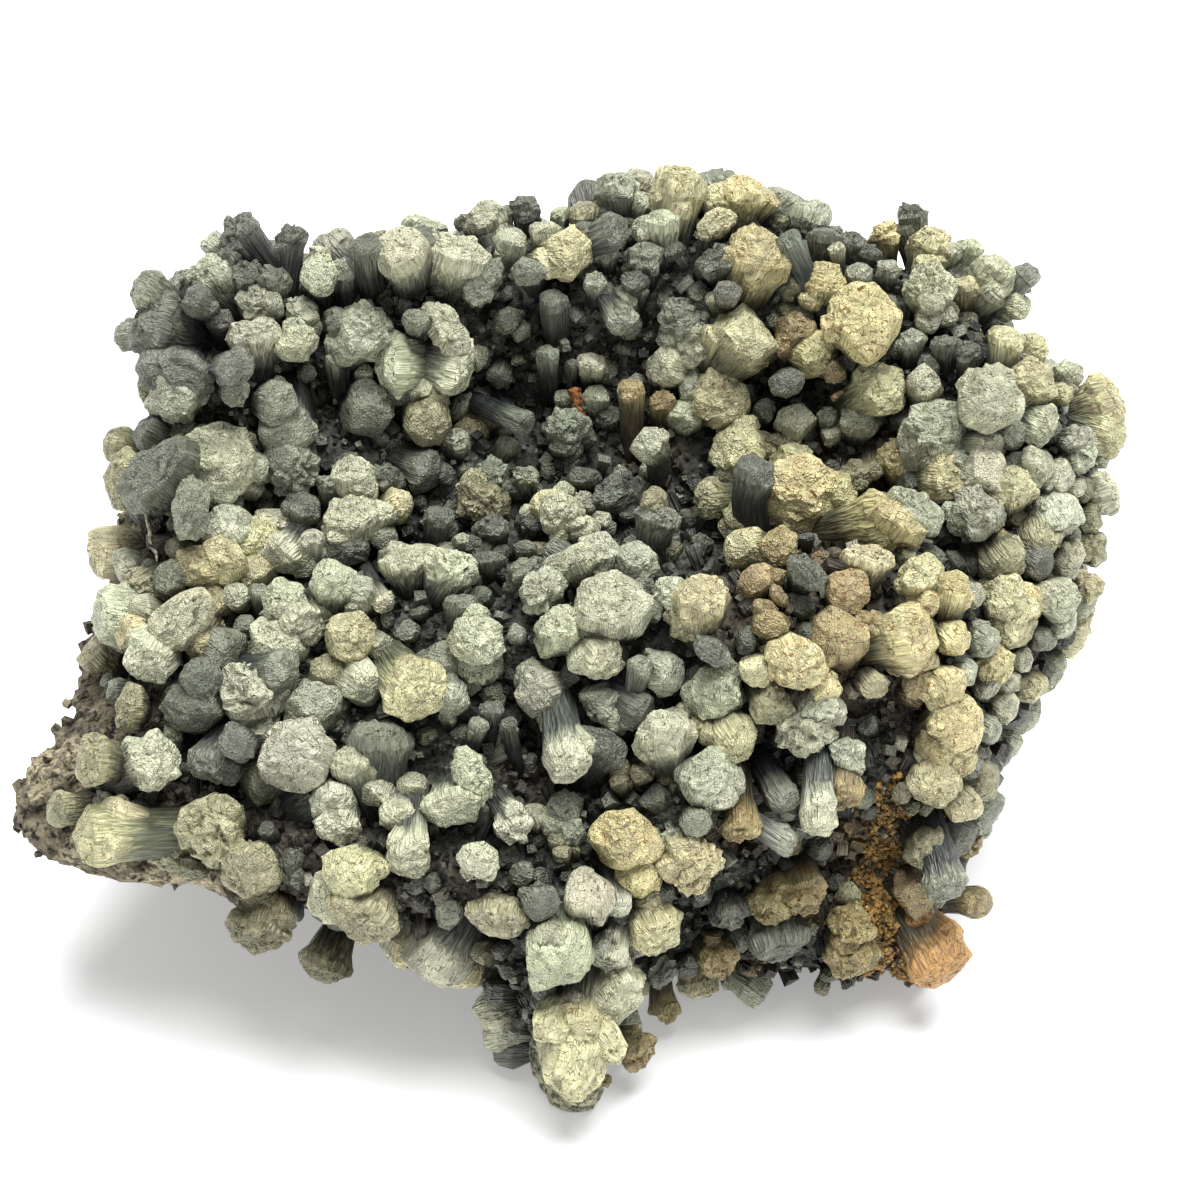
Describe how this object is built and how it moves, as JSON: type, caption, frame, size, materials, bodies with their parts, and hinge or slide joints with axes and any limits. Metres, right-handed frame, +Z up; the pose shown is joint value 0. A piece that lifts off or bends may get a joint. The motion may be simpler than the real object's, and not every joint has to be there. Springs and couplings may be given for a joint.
{
  "type": "mineral specimen",
  "caption": "Prehnite specimen: pale green finger-shaped crystal bundles grown over a broken slab of dark host rock, resting free on its feet.",
  "frame": {"origin": "middle of the whole specimen's box, on the surface that it rests on", "axes": "+Z up as it rests; +Y away from the side that the picture shows, towards the high rim; +X to the right as seen from there"},
  "size_m": [0.1269, 0.0991, 0.0776],
  "materials": {
    "prehnite": "waxy to glassy, slightly translucent, finely cracked",
    "matrix": "rough, earthy and porous"
  },
  "bodies": {
    "root": {"prehnite": "prehnite", "matrix": "matrix"}
  },
  "joints": []
}
